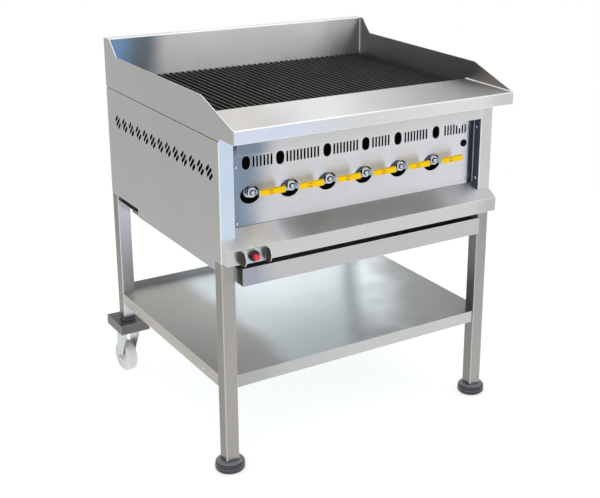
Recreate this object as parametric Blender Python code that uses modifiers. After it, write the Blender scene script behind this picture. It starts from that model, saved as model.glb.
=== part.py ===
"""A gas charbroiler grill on a stand. Metres, +Z up, the front faces -Y.

The origin is the centre of the bounding box, on the floor. Depths are counted
from the front faces of the legs, and back() turns a depth into a Y.
"""

import math

import bmesh
import bpy
from mathutils import Matrix, Vector

# ---------------------------------------------------------------- driving dimensions

WIDTH = 0.900  # across the casing and the legs
DEPTH = 0.745  # from the legs' front faces to the back panel
SHEET = 0.002  # stainless sheet
GAP = 0.0003  # between pieces that touch
LEG = 0.040  # square tube
LEG_WALL = 0.0015
LEG_CORNER = 0.003
BEND = 0.002  # radius of a fold at the middle of the sheet

LIP_OUT = 0.085  # the deck's lip stands this far in front of the legs
DECK_TOP = 0.997
LIP_BOTTOM = 0.960
DECK_REACH = 0.133  # depth of the deck's rear edge
SHIELD_TOP = 1.055
SPLASH_TOP = 1.100
SPLASH_FRONT = 0.715  # depth of the splashback's front face
SEAM = 0.950  # top of the casing's outer sheets
SEAM_OPEN = 0.0028  # the seam between the casing and the surround

PANEL_DEPTH = 0.031  # the control panel is set back this far
PANEL_BOTTOM = 0.702
POST_WIDTH = 0.043
FASCIA_BOTTOM = 0.9045
APRON_OUT = 0.034
APRON_EDGE = 0.664
APRON_BOTTOM = 0.622
APRON_SLOPE = math.atan2(0.020, APRON_OUT)
CASING_BOTTOM = 0.620  # the casing stands on the legs here
SKIRT_BOTTOM = 0.592  # between the legs the side panels hang lower
SKIRT_REACH = 0.545

TAPS = 6
TAP_PITCH = 0.1195
TAP_FIRST = -0.346
TAP_HEIGHT = 0.7955
TAP_HOLE = (0.060, 0.050)  # wider than high
TAP_HOLE_HEIGHT = 0.7865
LEVER_REACH = 0.091
PORT_HEIGHT = 0.875  # lighting ports and air slots
PORTS = (-0.356, -0.254, -0.107, 0.019, 0.129, 0.264)
SLOT_GROUPS = ((-0.307, 6), (-0.184, 10), (-0.047, 8), (0.070, 6), (0.192, 8), (0.335, 8))
SLOT_PITCH = 0.0107
PLUG_AT = (0.368, 0.829)

BURNER_PITCH = 0.120
BURNER_HEIGHT = 0.830
BURNER_RADIUS = 0.019
MANIFOLD_DEPTH = 0.062
MANIFOLD_RADIUS = 0.0135
INLET_X = 0.395
INLET_HEIGHT = 0.655

FIREBOX_SIDE = 0.430
FIREBOX_FRONT = 0.150
FIREBOX_REAR = 0.700
FIREBOX_BOTTOM = 0.680
FIREBOX_TOP = 0.9517
RADIANT_HEIGHT = 0.888

GRATES = 3
RIBS = 15
RIB_PITCH = 0.0195
GRATE_TOP = 0.980
GRATE_FRONT = 0.137
GRATE_REAR = 0.712

TRAY_SIDE = 0.399
TRAY_OUT = 0.022
TRAY_REACH = 0.690
TRAY_BOTTOM = 0.554
TRAY_TOP = 0.604

SHELF_TOP = 0.287
SHELF_BOTTOM = 0.251
SHELF_FRONT = 0.004
SHELF_REAR = 0.730
UPSTAND = 0.310

FOOT_RADIUS = 0.042
FOOT_HEIGHT = 0.030
HOUSING_X = 0.095
HOUSING_Y = 0.117
HOUSING_TOP = 0.193
HOUSING_BOTTOM = 0.163
COLLAR_TOP = 0.205
WHEEL_RADIUS = 0.050
WHEEL_WIDTH = 0.036
TRAIL = 0.028
CASTER_TURN = math.radians(4)  # how the casters happen to stand

IGNITER_X = -0.374
IGNITER_HEIGHT = 0.643
GUARD_HALF = 0.038
GUARD_OUT = 0.032

HALF = WIDTH / 2
LEG_X = HALF - LEG / 2
REAR_LEG = DEPTH - LEG / 2
TREAD_HALF = WHEEL_WIDTH * 0.35
REACH_BACK = (
    REAR_LEG
    + (TRAIL + WHEEL_RADIUS) * math.cos(CASTER_TURN)
    + TREAD_HALF * abs(math.sin(CASTER_TURN))
)
FRONT = (LIP_OUT - REACH_BACK) / 2  # Y of the legs' front faces


def back(depth):
    """The Y that lies this deep behind the legs' front faces."""
    return FRONT + depth


# ---------------------------------------------------------------- scene and materials

for stale in list(bpy.data.objects):
    bpy.data.objects.remove(stale)

PARTS = bpy.data.collections.new("charbroiler")
HELPERS = bpy.data.collections.new("cutters")
for collection in (PARTS, HELPERS):
    bpy.context.scene.collection.children.link(collection)
HELPERS.hide_render = True


def make_material(name, colour, roughness, metallic):
    made = bpy.data.materials.new(name)
    made.use_nodes = True
    shader = made.node_tree.nodes["Principled BSDF"]
    shader.inputs["Base Color"].default_value = (*colour, 1)
    shader.inputs["Roughness"].default_value = roughness
    shader.inputs["Metallic"].default_value = metallic
    return made


STAINLESS = make_material("stainless", (0.62, 0.62, 0.61), 0.32, 1)
BRIGHT = make_material("bright_stainless", (0.72, 0.74, 0.77), 0.18, 1)
INNER = make_material("aluminised", (0.30, 0.29, 0.28), 0.5, 1)
CHROME = make_material("chrome", (0.80, 0.80, 0.82), 0.08, 1)
BRASS = make_material("brass", (0.60, 0.50, 0.28), 0.3, 1)
STEEL_PIPE = make_material("pipe", (0.25, 0.25, 0.26), 0.45, 1)
IRON = make_material("cast_iron", (0.020, 0.017, 0.015), 0.65, 0)
YELLOW = make_material("yellow_grip", (1.0, 0.60, 0.0), 0.35, 0)
RED = make_material("red_button", (0.90, 0.04, 0.07), 0.3, 0)
BLACK = make_material("black_plastic", (0.010, 0.010, 0.012), 0.35, 0)
RUBBER = make_material("black_rubber", (0.025, 0.026, 0.030), 0.5, 0)
ZINC = make_material("zinc", (0.55, 0.60, 0.60), 0.35, 1)
NYLON = make_material("nylon", (0.60, 0.56, 0.52), 0.5, 0)

# ---------------------------------------------------------------- shape helpers

# Each drawing plane maps a flat outline (a, b) and its normal to the world's axes.
PLANES = {
    "XY": Matrix(((1, 0, 0), (0, 1, 0), (0, 0, 1))),
    "XZ": Matrix(((1, 0, 0), (0, 0, -1), (0, 1, 0))),
    "YZ": Matrix(((0, 0, 1), (1, 0, 0), (0, 1, 0))),
}
NORMAL = {"XY": (0, 0, 1), "XZ": (0, 1, 0), "YZ": (1, 0, 0)}


def add_object(name, mesh, origin, material):
    """Puts the mesh, given in world coordinates, in an object whose origin is where told."""
    mesh.transform(Matrix.Translation(-Vector(origin)))
    made = bpy.data.objects.new(name, mesh)
    made.location = origin
    PARTS.objects.link(made)
    if material:
        mesh.materials.clear()
        mesh.materials.append(material)
    return made


def mesh_from(build):
    """A mesh made by a function that fills a bmesh."""
    made = bpy.data.meshes.new("mesh")
    work = bmesh.new()
    build(work)
    bmesh.ops.recalc_face_normals(work, faces=work.faces)
    work.to_mesh(made)
    work.free()
    return made


def box(name, low, high, material=None, origin=None):
    """A block between two opposite corners."""
    low, high = Vector(low), Vector(high)
    centre = (low + high) / 2

    def build(work):
        size = Matrix.Diagonal((*(high - low), 1))
        bmesh.ops.create_cube(work, size=1, matrix=Matrix.Translation(centre) @ size)

    return add_object(name, mesh_from(build), origin or centre, material)


def rod(name, start, end, radius, sides=20, material=None, origin=None, end_radius=None):
    """A cylinder or a cone between two points."""
    start, end = Vector(start), Vector(end)
    along = end - start
    centre = (start + end) / 2

    def build(work):
        turn = along.to_track_quat("Z", "Y").to_matrix().to_4x4()
        bmesh.ops.create_cone(
            work,
            cap_ends=True,
            segments=sides,
            radius1=radius,
            radius2=radius if end_radius is None else end_radius,
            depth=along.length,
            matrix=Matrix.Translation(centre) @ turn,
        )

    made = add_object(name, mesh_from(build), origin or centre, material)
    made.data.shade_smooth()
    made.data.set_sharp_from_angle(angle=math.radians(40))
    return made


def bent(line, radius, steps=3):
    """The line of points with each corner rounded to an arc."""
    line = [Vector(point).to_3d() for point in line]
    points = [line[0]]
    for before, corner, after in zip(line, line[1:], line[2:]):
        arriving = (corner - before).normalized()
        leaving = (after - corner).normalized()
        turn = arriving.angle(leaving)
        inward = (leaving - arriving * leaving.dot(arriving)).normalized()
        centre = corner - arriving * radius * math.tan(turn / 2) + inward * radius
        for i in range(steps + 1):
            part = turn * i / steps
            points.append(centre + (arriving * math.sin(part) - inward * math.cos(part)) * radius)
    points.append(line[-1])
    return points


def drawn(name, plane, at, half, loops, closed):
    """The mesh, in world coordinates, of flat curves in a plane, extruded both ways by half."""
    curve = bpy.data.curves.new(name, "CURVE")
    curve.dimensions = "2D" if closed else "3D"
    curve.fill_mode = "BOTH" if closed else "FULL"
    curve.extrude = half
    for loop in loops:
        spline = curve.splines.new("POLY")
        spline.points.add(len(loop) - 1)
        for point, place in zip(spline.points, loop):
            point.co = (place[0], place[1], 0, 1)
        spline.use_cyclic_u = closed
    drawing = bpy.data.objects.new(name, curve)
    PARTS.objects.link(drawing)
    place = Matrix.Translation(Vector(NORMAL[plane]) * at) @ PLANES[plane].to_4x4()
    drawing.matrix_world = place
    bpy.context.view_layer.update()
    graph = bpy.context.evaluated_depsgraph_get()
    made = bpy.data.meshes.new_from_object(drawing.evaluated_get(graph))
    bpy.data.objects.remove(drawing)
    bpy.data.curves.remove(curve)
    made.transform(place)
    work = bmesh.new()
    work.from_mesh(made)
    bmesh.ops.remove_doubles(work, verts=work.verts, dist=1e-6)
    if closed:
        bmesh.ops.recalc_face_normals(work, faces=work.faces)
    work.to_mesh(made)
    work.free()
    return made


def plate(name, plane, low, high, loops, material=None, origin=None):
    """A flat plate with any outline: the first loop is its edge and the others are holes."""
    mesh = drawn(name, plane, (low + high) / 2, (high - low) / 2, loops, closed=True)
    return add_object(name, mesh, origin or (0, 0, 0), material)


def folded(name, plane, low, high, line, material=None, thickness=SHEET):
    """A sheet folded along a line, which runs at the middle of its thickness."""
    bends = bent(line, BEND)
    mesh = drawn(name, plane, (low + high) / 2, (high - low) / 2, [bends], closed=False)
    made = add_object(name, mesh, (0, 0, 0), material)
    solid = made.modifiers.new("thickness", "SOLIDIFY")
    solid.thickness = thickness
    solid.offset = 0
    solid.use_even_offset = True
    return made


def tube(name, points, radius, material, resolution=2):
    """A round bar along a line of points."""
    curve = bpy.data.curves.new(name, "CURVE")
    curve.dimensions = "3D"
    curve.bevel_depth = radius
    curve.bevel_resolution = resolution
    curve.use_fill_caps = True
    spline = curve.splines.new("POLY")
    spline.points.add(len(points) - 1)
    for point, place in zip(spline.points, points):
        point.co = (*place, 1)
    made = bpy.data.objects.new(name, curve)
    PARTS.objects.link(made)
    curve.materials.append(material)
    return made


def turned(name, profile, material, origin, steps=32):
    """A round piece about its own Z axis, from a profile that runs down its outer side."""
    mesh = bpy.data.meshes.new(name)
    edges = [(i, i + 1) for i in range(len(profile) - 1)]
    mesh.from_pydata([(r, 0, z) for r, z in profile], edges, [])
    made = bpy.data.objects.new(name, mesh)
    made.location = origin
    PARTS.objects.link(made)
    mesh.materials.append(material)
    screw = made.modifiers.new("turn", "SCREW")
    screw.steps = screw.render_steps = steps
    screw.use_merge_vertices = True
    screw.merge_threshold = 0.0001
    screw.use_smooth_shade = True
    return made


def combine(base, *others, operation="UNION"):
    """Joins helper objects to a piece, or cuts them from it."""
    for other in others:
        for holder in list(other.users_collection):
            holder.objects.unlink(other)
        HELPERS.objects.link(other)
        other.hide_render = True
        other.display_type = "WIRE"
        boolean = base.modifiers.new(other.name, "BOOLEAN")
        boolean.operation = operation
        boolean.object = other
        boolean.solver = "EXACT"
    return base


def frozen(piece):
    """The piece with its modifiers applied, so that its mesh can be shared by copies."""
    bpy.context.view_layer.update()
    graph = bpy.context.evaluated_depsgraph_get()
    mesh = bpy.data.meshes.new_from_object(piece.evaluated_get(graph))
    helpers = [modifier.object for modifier in piece.modifiers if modifier.type == "BOOLEAN"]
    piece.modifiers.clear()
    piece.data = mesh
    for helper in helpers:
        bpy.data.objects.remove(helper)
    return piece


def copy_of(piece, name, location):
    made = bpy.data.objects.new(name, piece.data)
    made.location = location
    made.rotation_euler = piece.rotation_euler
    PARTS.objects.link(made)
    return made


def rectangle(low_a, low_b, high_a, high_b):
    return [(low_a, low_b), (high_a, low_b), (high_a, high_b), (low_a, high_b)]


def oval(a, b, width, height, sides):
    turns = (2 * math.pi * i / sides for i in range(sides))
    return [(a + width / 2 * math.cos(t), b + height / 2 * math.sin(t)) for t in turns]


def circle(a, b, radius, sides):
    return oval(a, b, 2 * radius, 2 * radius, sides)


def rounded_slot(a, b, width, height, sides):
    """An upright slot with round ends of so many sides each."""
    radius = width / 2
    straight = height / 2 - radius
    points = []
    for end, first in ((1, 0), (-1, math.pi)):
        for i in range(sides + 1):
            turn = first + math.pi * i / sides
            points.append((a + radius * math.cos(turn), b + end * straight + radius * math.sin(turn)))
    return points


# ---------------------------------------------------------------- top surround


def deck_plate():
    """The front deck: a flange behind it, a lip in front, and a return under the lip."""
    half_sheet = SHEET / 2
    line = [
        (back(DECK_REACH - half_sheet), SEAM),
        (back(DECK_REACH - half_sheet), DECK_TOP - half_sheet),
        (back(half_sheet - LIP_OUT), DECK_TOP - half_sheet),
        (back(half_sheet - LIP_OUT), LIP_BOTTOM + half_sheet),
        (back(-LIP_OUT + 0.020), LIP_BOTTOM + half_sheet),
    ]
    inner = HALF - SHEET - GAP
    folded("deck_plate", "YZ", -inner, inner, line, STAINLESS)


def side_shield(side, name):
    """The side of the surround, which steps up at the back and slopes down to the lip."""
    outline = [
        (back(-LIP_OUT), LIP_BOTTOM),
        (back(-LIP_OUT), DECK_TOP),
        (back(0.093), SHIELD_TOP),
        (back(0.655), SHIELD_TOP),
        (back(0.692), SPLASH_TOP - 0.008),
        (back(0.699), SPLASH_TOP),
        (back(DEPTH), SPLASH_TOP),
        (back(DEPTH), SEAM + SEAM_OPEN),
        (back(0), SEAM + SEAM_OPEN),
        (back(-0.012), LIP_BOTTOM),
    ]
    faces = sorted((side * HALF, side * (HALF - SHEET)))
    plate(name, "YZ", *faces, [outline], STAINLESS)


def rear_splashback():
    """An upturned channel: a front skin, the flat top and a back skin."""
    half_sheet = SHEET / 2
    line = [
        (back(SPLASH_FRONT + half_sheet), SEAM - 0.010),
        (back(SPLASH_FRONT + half_sheet), SPLASH_TOP - half_sheet),
        (back(DEPTH - half_sheet), SPLASH_TOP - half_sheet),
        (back(DEPTH - half_sheet), SEAM + SEAM_OPEN),
    ]
    inner = HALF - SHEET - GAP
    folded("rear_splashback", "YZ", -inner, inner, line, STAINLESS)


# ---------------------------------------------------------------- casing


def vent_loops():
    """Thirteen round groups of three slanted vents in a row near a side panel's top."""
    groups = 13
    first, last, height = 0.667, 0.057, 0.857
    reach, half_width, pitch, lean = 0.0205, 0.0056, 0.0138, math.radians(45)
    loops = []
    for group in range(groups):
        centre = first + (last - first) * group / (groups - 1)
        for vent in (-1, 0, 1):
            half = math.sqrt(reach**2 - (vent * pitch) ** 2) - half_width
            loop = []
            for end, start in ((1, 0), (-1, math.pi)):
                for i in range(4):
                    turn = start + math.pi * i / 3
                    across = vent * pitch + half_width * math.cos(turn)
                    along = end * half + half_width * math.sin(turn)
                    depth = centre - across * math.cos(lean) - along * math.sin(lean)
                    rise = along * math.cos(lean) - across * math.sin(lean)
                    loop.append((back(depth), height + rise))
            loops.append(loop)
    return loops


def side_panel(side, name):
    """A side of the casing, folded round in front to make the post."""
    over = SEAM + 0.004  # trimmed down to the seam with the post's skin
    skin = [
        (back(0.004), over),
        (back(0.004), CASING_BOTTOM),
        (back(LEG + GAP), CASING_BOTTOM),
        (back(LEG + GAP), SKIRT_BOTTOM),
        (back(SKIRT_REACH), SKIRT_BOTTOM),
        (back(SKIRT_REACH), CASING_BOTTOM - 0.003),
        (back(DEPTH), CASING_BOTTOM - 0.003),
        (back(DEPTH), over),
    ]
    faces = sorted((side * HALF, side * (HALF - SHEET)))
    panel = plate(name, "YZ", *faces, [skin], STAINLESS)
    half_sheet = SHEET / 2
    inner = side * (HALF - POST_WIDTH + half_sheet)
    post_line = [
        (side * (HALF - half_sheet), back(0.020)),
        (side * (HALF - half_sheet), back(half_sheet)),
        (inner, back(half_sheet)),
        (inner, back(PANEL_DEPTH + 0.025)),
    ]
    post_top = DECK_TOP - SHEET - GAP
    combine(panel, folded(name + "_post", "XY", CASING_BOTTOM, post_top, post_line))
    trim = sorted((side * (HALF - SHEET - GAP), side * (HALF + SHEET)))
    trim_low = (trim[0], back(-SHEET), SEAM)
    trim_high = (trim[1], back(DEPTH + SHEET), DECK_TOP)
    through = sorted((side * (HALF + SHEET), side * (HALF - 2 * SHEET)))
    combine(
        panel,
        box(name + "_trim", trim_low, trim_high),
        plate(name + "_vents", "YZ", *through, vent_loops()),
        operation="DIFFERENCE",
    )


def back_panel():
    """The back of the casing, with a hole for the gas inlet."""
    inner = HALF - SHEET - GAP
    edge = rectangle(-inner, CASING_BOTTOM - 0.003, inner, SEAM)
    hole = circle(INLET_X, INLET_HEIGHT, MANIFOLD_RADIUS + 0.004, 16)
    plate("back_panel", "XZ", back(DEPTH - SHEET), back(DEPTH), [edge, hole], STAINLESS)


def fascia_band():
    """A flat band between the posts, under the lip."""
    high = DECK_TOP - SHEET - GAP
    post = HALF - POST_WIDTH
    edge = rectangle(-post + 0.010, FASCIA_BOTTOM, post - GAP, high)
    plate("fascia_band", "XZ", back(0), back(SHEET), [edge], BRIGHT)


def control_panel():
    """The set-back panel with the lighting ports, air slots, tap holes and the plug's hole."""
    side = HALF - POST_WIDTH - GAP
    loops = [rectangle(-side, PANEL_BOTTOM, side, DECK_TOP - SHEET - 0.010)]
    for x in PORTS:
        loops.append(rounded_slot(x, PORT_HEIGHT, 0.025, 0.038, 6))
    for centre, count in SLOT_GROUPS:
        for i in range(count):
            x = centre + SLOT_PITCH * (i - (count - 1) / 2)
            loops.append(rectangle(x - 0.0029, PORT_HEIGHT - 0.015, x + 0.0029, PORT_HEIGHT + 0.015))
    for i in range(TAPS):
        loops.append(oval(TAP_FIRST + TAP_PITCH * i, TAP_HOLE_HEIGHT, *TAP_HOLE, 24))
    loops.append(circle(*PLUG_AT, 0.0085, 16))
    faces = (back(PANEL_DEPTH), back(PANEL_DEPTH + SHEET))
    plate("control_panel", "XZ", *faces, loops, BRIGHT)


def panel_plug():
    """A domed plastic plug that snaps into the panel's spare hole."""
    profile = [
        (0, 0.0035),
        (0.008, 0.0030),
        (0.011, 0.0012),
        (0.011, GAP),
        (0.0080, GAP),
        (0.0080, -0.006),
        (0, -0.006),
    ]
    where = (PLUG_AT[0], back(PANEL_DEPTH), PLUG_AT[1])
    plug = turned("panel_plug", profile, BLACK, where, 20)
    plug.rotation_euler = (math.radians(90), 0, 0)


def apron_ledge():
    """The sloped ledge under the control panel, with closed ends."""
    half_sheet = SHEET / 2
    out = -APRON_OUT + half_sheet
    rise = math.tan(APRON_SLOPE)
    top = APRON_EDGE + APRON_OUT * rise
    rear = PANEL_DEPTH - half_sheet
    outer = HALF - SHEET
    inner = HALF - POST_WIDTH - GAP
    shelf_line = [
        (back(rear), top + rear * rise - half_sheet),
        (back(out), APRON_EDGE - half_sheet),
        (back(out), APRON_BOTTOM + half_sheet),
        (back(-0.012), APRON_BOTTOM + half_sheet),
    ]
    ledge = folded("apron_ledge", "YZ", -outer, outer, shelf_line, STAINLESS)
    cutters = []
    for side, name in ((-1, "left"), (1, "right")):
        xs = sorted((side * inner, side * HALF * 1.1))
        low = (xs[0], back(-GAP), CASING_BOTTOM - 0.05)
        high = (xs[1], back(0.1), APRON_EDGE + 0.1)
        cutters.append(box(f"post_room_{name}", low, high))
    combine(ledge, *cutters, operation="DIFFERENCE")
    end = [
        (back(-GAP), top - GAP * rise - half_sheet),
        (back(out), APRON_EDGE - half_sheet),
        (back(out), APRON_BOTTOM + half_sheet),
        (back(-GAP), APRON_BOTTOM + half_sheet),
    ]
    for side, name in ((-1, "left"), (1, "right")):
        faces = sorted((side * (outer - 0.0001), side * (outer - SHEET)))
        combine(ledge, plate(f"apron_end_{name}", "YZ", *faces, [end]))


# ---------------------------------------------------------------- igniter


def igniter():
    """A U-shaped guard on the apron's face, round a red push button in a black body."""
    face = back(-APRON_OUT)
    seat = -APRON_OUT - GAP
    low, high = APRON_BOTTOM + 0.001, APRON_EDGE - 0.002
    middle = (low + high) / 2
    edge = rectangle(IGNITER_X - GUARD_HALF, low, IGNITER_X + GUARD_HALF, high)
    hole = circle(IGNITER_X, IGNITER_HEIGHT, 0.0125, 20)
    faces = (back(seat - SHEET), back(seat))
    guard = plate("igniter_guard", "XZ", *faces, [edge, hole], BRIGHT)
    nose = [
        (back(seat - GUARD_OUT + 0.014 - 0.014 * math.sin(turn)), middle + 0.019 * math.cos(turn))
        for turn in (math.pi * i / 10 for i in range(11))
    ]
    ear = [(back(seat - 0.0005), high), *nose, (back(seat - 0.0005), low)]
    for side, name in ((-1, "left"), (1, "right")):
        xs = sorted((IGNITER_X + side * GUARD_HALF, IGNITER_X + side * (GUARD_HALF - SHEET)))
        combine(guard, plate(f"guard_ear_{name}", "YZ", *xs, [ear]))

    where = (IGNITER_X, face, IGNITER_HEIGHT)
    bore = 0.0088
    body_profile = [
        (bore, 0.0110),
        (0.0125, 0.0110),
        (0.0150, 0.0080),
        (0.0150, SHEET + 2 * GAP),
        (0.0120, SHEET + 2 * GAP),
        (0.0120, SHEET - 0.0005),
        (0.0120, GAP),
        (bore, GAP),
        (bore, 0.0110),
    ]
    body = turned("igniter_body", body_profile, BLACK, where, 24)
    button_profile = [
        (0, 0.0260),
        (0.0060, 0.0255),
        (0.0080, 0.0235),
        (0.0080, 0.0062),
        (0, 0.0062),
    ]
    button = turned("igniter_button", button_profile, RED, where, 24)
    for piece in (body, button):
        piece.rotation_euler = (math.radians(90), 0, 0)


# ---------------------------------------------------------------- gas train


def tap_x(index):
    return TAP_FIRST + TAP_PITCH * index


def burner_x(index):
    return BURNER_PITCH * (index - (TAPS - 1) / 2)


def gas_manifold():
    """One pipe: across behind the panel, round the corner, down, and back under the firebox."""
    bend = 0.030
    drop = back(FIREBOX_FRONT - 0.015)
    across = back(MANIFOLD_DEPTH)
    corners = [
        (TAP_FIRST - 0.040, across, TAP_HEIGHT),
        (INLET_X, across, TAP_HEIGHT),
        (INLET_X, drop, TAP_HEIGHT),
        (INLET_X, drop, INLET_HEIGHT),
        (INLET_X, back(DEPTH + 0.030), INLET_HEIGHT),
    ]
    tube("gas_manifold", bent(corners, bend, 4), MANIFOLD_RADIUS, STEEL_PIPE)


def valves():
    """Tap bodies: each stands in front of the manifold and turns up to a jet for its burner."""
    x, z = tap_x(0), TAP_HEIGHT
    front, rear = back(0.0283), back(MANIFOLD_DEPTH - MANIFOLD_RADIUS - 0.0006)
    spindle = rod("valve_1", (x, front, z), (x, rear, z), 0.008, 16, BRASS, (x, back(0.04), z))
    collar = rod("valve_collar", (x, back(0.0345), z), (x, back(0.0465), z), 0.018, 16)
    riser = rod("valve_riser", (x, back(0.0410), z), (x, back(0.0410), BURNER_HEIGHT + 0.006), 0.0055, 12)
    jet = rod("valve_jet", (x, back(0.0370), BURNER_HEIGHT), (x, back(0.0560), BURNER_HEIGHT), 0.007, 12)
    first = frozen(combine(spindle, collar, riser, jet))
    for i in range(1, TAPS):
        copy_of(first, f"valve_{i + 1}", (tap_x(i), back(0.04), z))


def levers():
    """Cranked chrome levers, closed when they point right, each with a yellow grip pushed on."""
    x, z = tap_x(0), TAP_HEIGHT
    axis = (x, back(0.020), z)
    hub_front, hub_back = back(0.0180), back(0.0280)
    hub = rod("lever_1", (x, hub_front, z), (x, hub_back, z), 0.013, 20, CHROME, axis)
    blade_end = LEVER_REACH - 0.008
    arm_outline = [
        (x - 0.006, hub_back - 0.0002),
        (x - 0.006, hub_front + 0.0002),
        (x + 0.006, hub_front + 0.0002),
        (x + 0.0120, back(0.0012)),
        (x + blade_end, back(0.0012)),
        (x + blade_end, back(0.0048)),
        (x + 0.0138, back(0.0048)),
        (x + 0.0105, back(0.0240)),
    ]
    arm = plate("lever_arm", "XY", z - 0.007, z + 0.007, [arm_outline])
    lever = frozen(combine(hub, arm))
    grip_low = (x + 0.0145, back(-0.0015), z - 0.009)
    grip_high = (x + LEVER_REACH, back(0.0075), z + 0.009)
    grip = box("lever_grip_1", grip_low, grip_high, YELLOW, axis)
    pocket_low = (x, back(0.0012 - GAP), z - 0.007 - GAP)
    pocket_high = (x + blade_end + GAP, back(0.0048 + GAP), z + 0.007 + GAP)
    combine(grip, box("grip_pocket", pocket_low, pocket_high), operation="DIFFERENCE")
    grip = frozen(grip)
    for i in range(1, TAPS):
        place = (tap_x(i), back(0.020), z)
        copy_of(lever, f"lever_{i + 1}", place)
        copy_of(grip, f"lever_grip_{i + 1}", place)


def burners():
    """Tube burners: straight in from the tap, then a bend to their place under the grates."""
    bend_from, bend_to = 0.180, 0.290
    steps = 6
    for index in range(TAPS):
        start, shift = tap_x(index), burner_x(index) - tap_x(index)
        points = [(start, back(0.060), BURNER_HEIGHT)]
        for i in range(steps + 1):
            share = i / steps
            ease = share * share * (3 - 2 * share)
            depth = bend_from + (bend_to - bend_from) * share
            points.append((start + shift * ease, back(depth), BURNER_HEIGHT))
        points.append((start + shift, back(0.690), BURNER_HEIGHT))
        tube(f"burner_{index + 1}", points, BURNER_RADIUS, IRON)


# ---------------------------------------------------------------- firebox and grates


def firebox():
    """Four walls open above and below; the burners pass through holes in the front one."""
    side, front, rear = FIREBOX_SIDE, back(FIREBOX_FRONT), back(FIREBOX_REAR)
    walls = box("firebox", (-side, front, FIREBOX_BOTTOM), (side, rear, FIREBOX_TOP), INNER)
    room_low = (-side + SHEET, front + SHEET, FIREBOX_BOTTOM - SHEET)
    room_high = (side - SHEET, rear - SHEET, FIREBOX_TOP + SHEET)
    combine(walls, box("firebox_room", room_low, room_high), operation="DIFFERENCE")
    for sign, name in ((-1, "left"), (1, "right")):
        xs = sorted((sign * (side - 0.001), sign * (side - 0.018)))
        low = (xs[0], front + 0.020, RADIANT_HEIGHT - 0.0073)
        high = (xs[1], rear - 0.020, RADIANT_HEIGHT - 0.0043)
        combine(walls, box(f"firebox_ledge_{name}", low, high))
    for i in range(TAPS):
        start = (tap_x(i), front - SHEET, BURNER_HEIGHT)
        end = (tap_x(i), front + 2 * SHEET, BURNER_HEIGHT)
        hole = rod(f"burner_hole_{i + 1}", start, end, BURNER_RADIUS + 0.003, 16)
        combine(walls, hole, operation="DIFFERENCE")


def radiant_rack():
    """Two bars that carry an inverted channel over each burner."""
    reach = FIREBOX_SIDE - 0.006
    low, high = RADIANT_HEIGHT - 0.004, RADIANT_HEIGHT + 0.002
    first, second = 0.215, 0.640
    rack = box("radiant_rack", (-reach, back(first), low), (reach, back(first + 0.010), high), IRON)
    far_bar = box("rack_bar", (-reach, back(second), low), (reach, back(second + 0.010), high))
    half_sheet = SHEET / 2
    for i in range(TAPS):
        x = burner_x(i)
        line = [
            (x - 0.042, RADIANT_HEIGHT),
            (x, RADIANT_HEIGHT + 0.034),
            (x + 0.042, RADIANT_HEIGHT),
        ]
        combine(rack, folded(f"radiant_{i + 1}", "XZ", back(0.180), back(0.680), line, None, half_sheet * 2))
    combine(rack, far_bar)


def add_blocks(work, blocks):
    """Adds blocks, each given by its middle, its size and how much its top narrows."""
    for place, size, narrow in blocks:
        made = bmesh.ops.create_cube(work, size=1)
        for vertex in made["verts"]:
            if vertex.co.z > 0:
                vertex.co.x *= narrow
        bmesh.ops.scale(work, vec=size, verts=made["verts"])
        bmesh.ops.translate(work, vec=place, verts=made["verts"])


def grates():
    """Cast grates: ribs from front to back over cross bars, with a low trough in front."""
    section = RIBS * RIB_PITCH
    rib_low = GRATE_TOP - 0.022
    rib_front = GRATE_FRONT + 0.012
    bar_low = FIREBOX_TOP + GAP
    bar_top = rib_low + 0.004
    lip_top = GRATE_TOP - 0.009
    for index in range(GRATES):
        middle = section * (index - (GRATES - 1) / 2)
        width = section - 0.0012
        bars = []
        for depth, top in ((GRATE_FRONT, lip_top), (0.330, bar_top), (0.520, bar_top), (0.694, bar_top)):
            place = (middle, back(depth + 0.006), (bar_low + top) / 2)
            bars.append((place, (width, 0.0122, top - bar_low), 1))
        ribs = []
        for rib in range(RIBS):
            x = middle + RIB_PITCH * (rib - (RIBS - 1) / 2)
            place = (x, back((rib_front + GRATE_REAR) / 2), (GRATE_TOP + rib_low) / 2)
            ribs.append((place, (0.0095, GRATE_REAR - rib_front, GRATE_TOP - rib_low), 0.55))
        where = (middle, back((GRATE_FRONT + GRATE_REAR) / 2), bar_low)
        bar_mesh = mesh_from(lambda work, blocks=bars: add_blocks(work, blocks))
        rib_mesh = mesh_from(lambda work, blocks=ribs: add_blocks(work, blocks))
        grate = add_object(f"grate_{index + 1}", bar_mesh, where, IRON)
        combine(grate, add_object(f"grate_ribs_{index + 1}", rib_mesh, where, None))


# ---------------------------------------------------------------- drip tray


def drip_tray():
    """An open drawer that catches grease and slides out to the front."""
    low = (-TRAY_SIDE, back(-TRAY_OUT), TRAY_BOTTOM)
    high = (TRAY_SIDE, back(TRAY_REACH), TRAY_TOP)
    wall = SHEET
    tray = box("drip_tray", low, high, STAINLESS)
    hollow_low = (low[0] + wall, low[1] + wall, low[2] + wall)
    hollow_high = (high[0] - wall, high[1] - wall, high[2] + wall)
    combine(tray, box("tray_hollow", hollow_low, hollow_high), operation="DIFFERENCE")
    # Behind the front face the sides stand lower.
    lower = TRAY_TOP - 0.008
    room_low = (low[0] - wall, low[1] + 0.016, lower)
    room_high = (high[0] + wall, high[1] + wall, high[2] + wall)
    combine(tray, box("tray_side_room", room_low, room_high), operation="DIFFERENCE")


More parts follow.
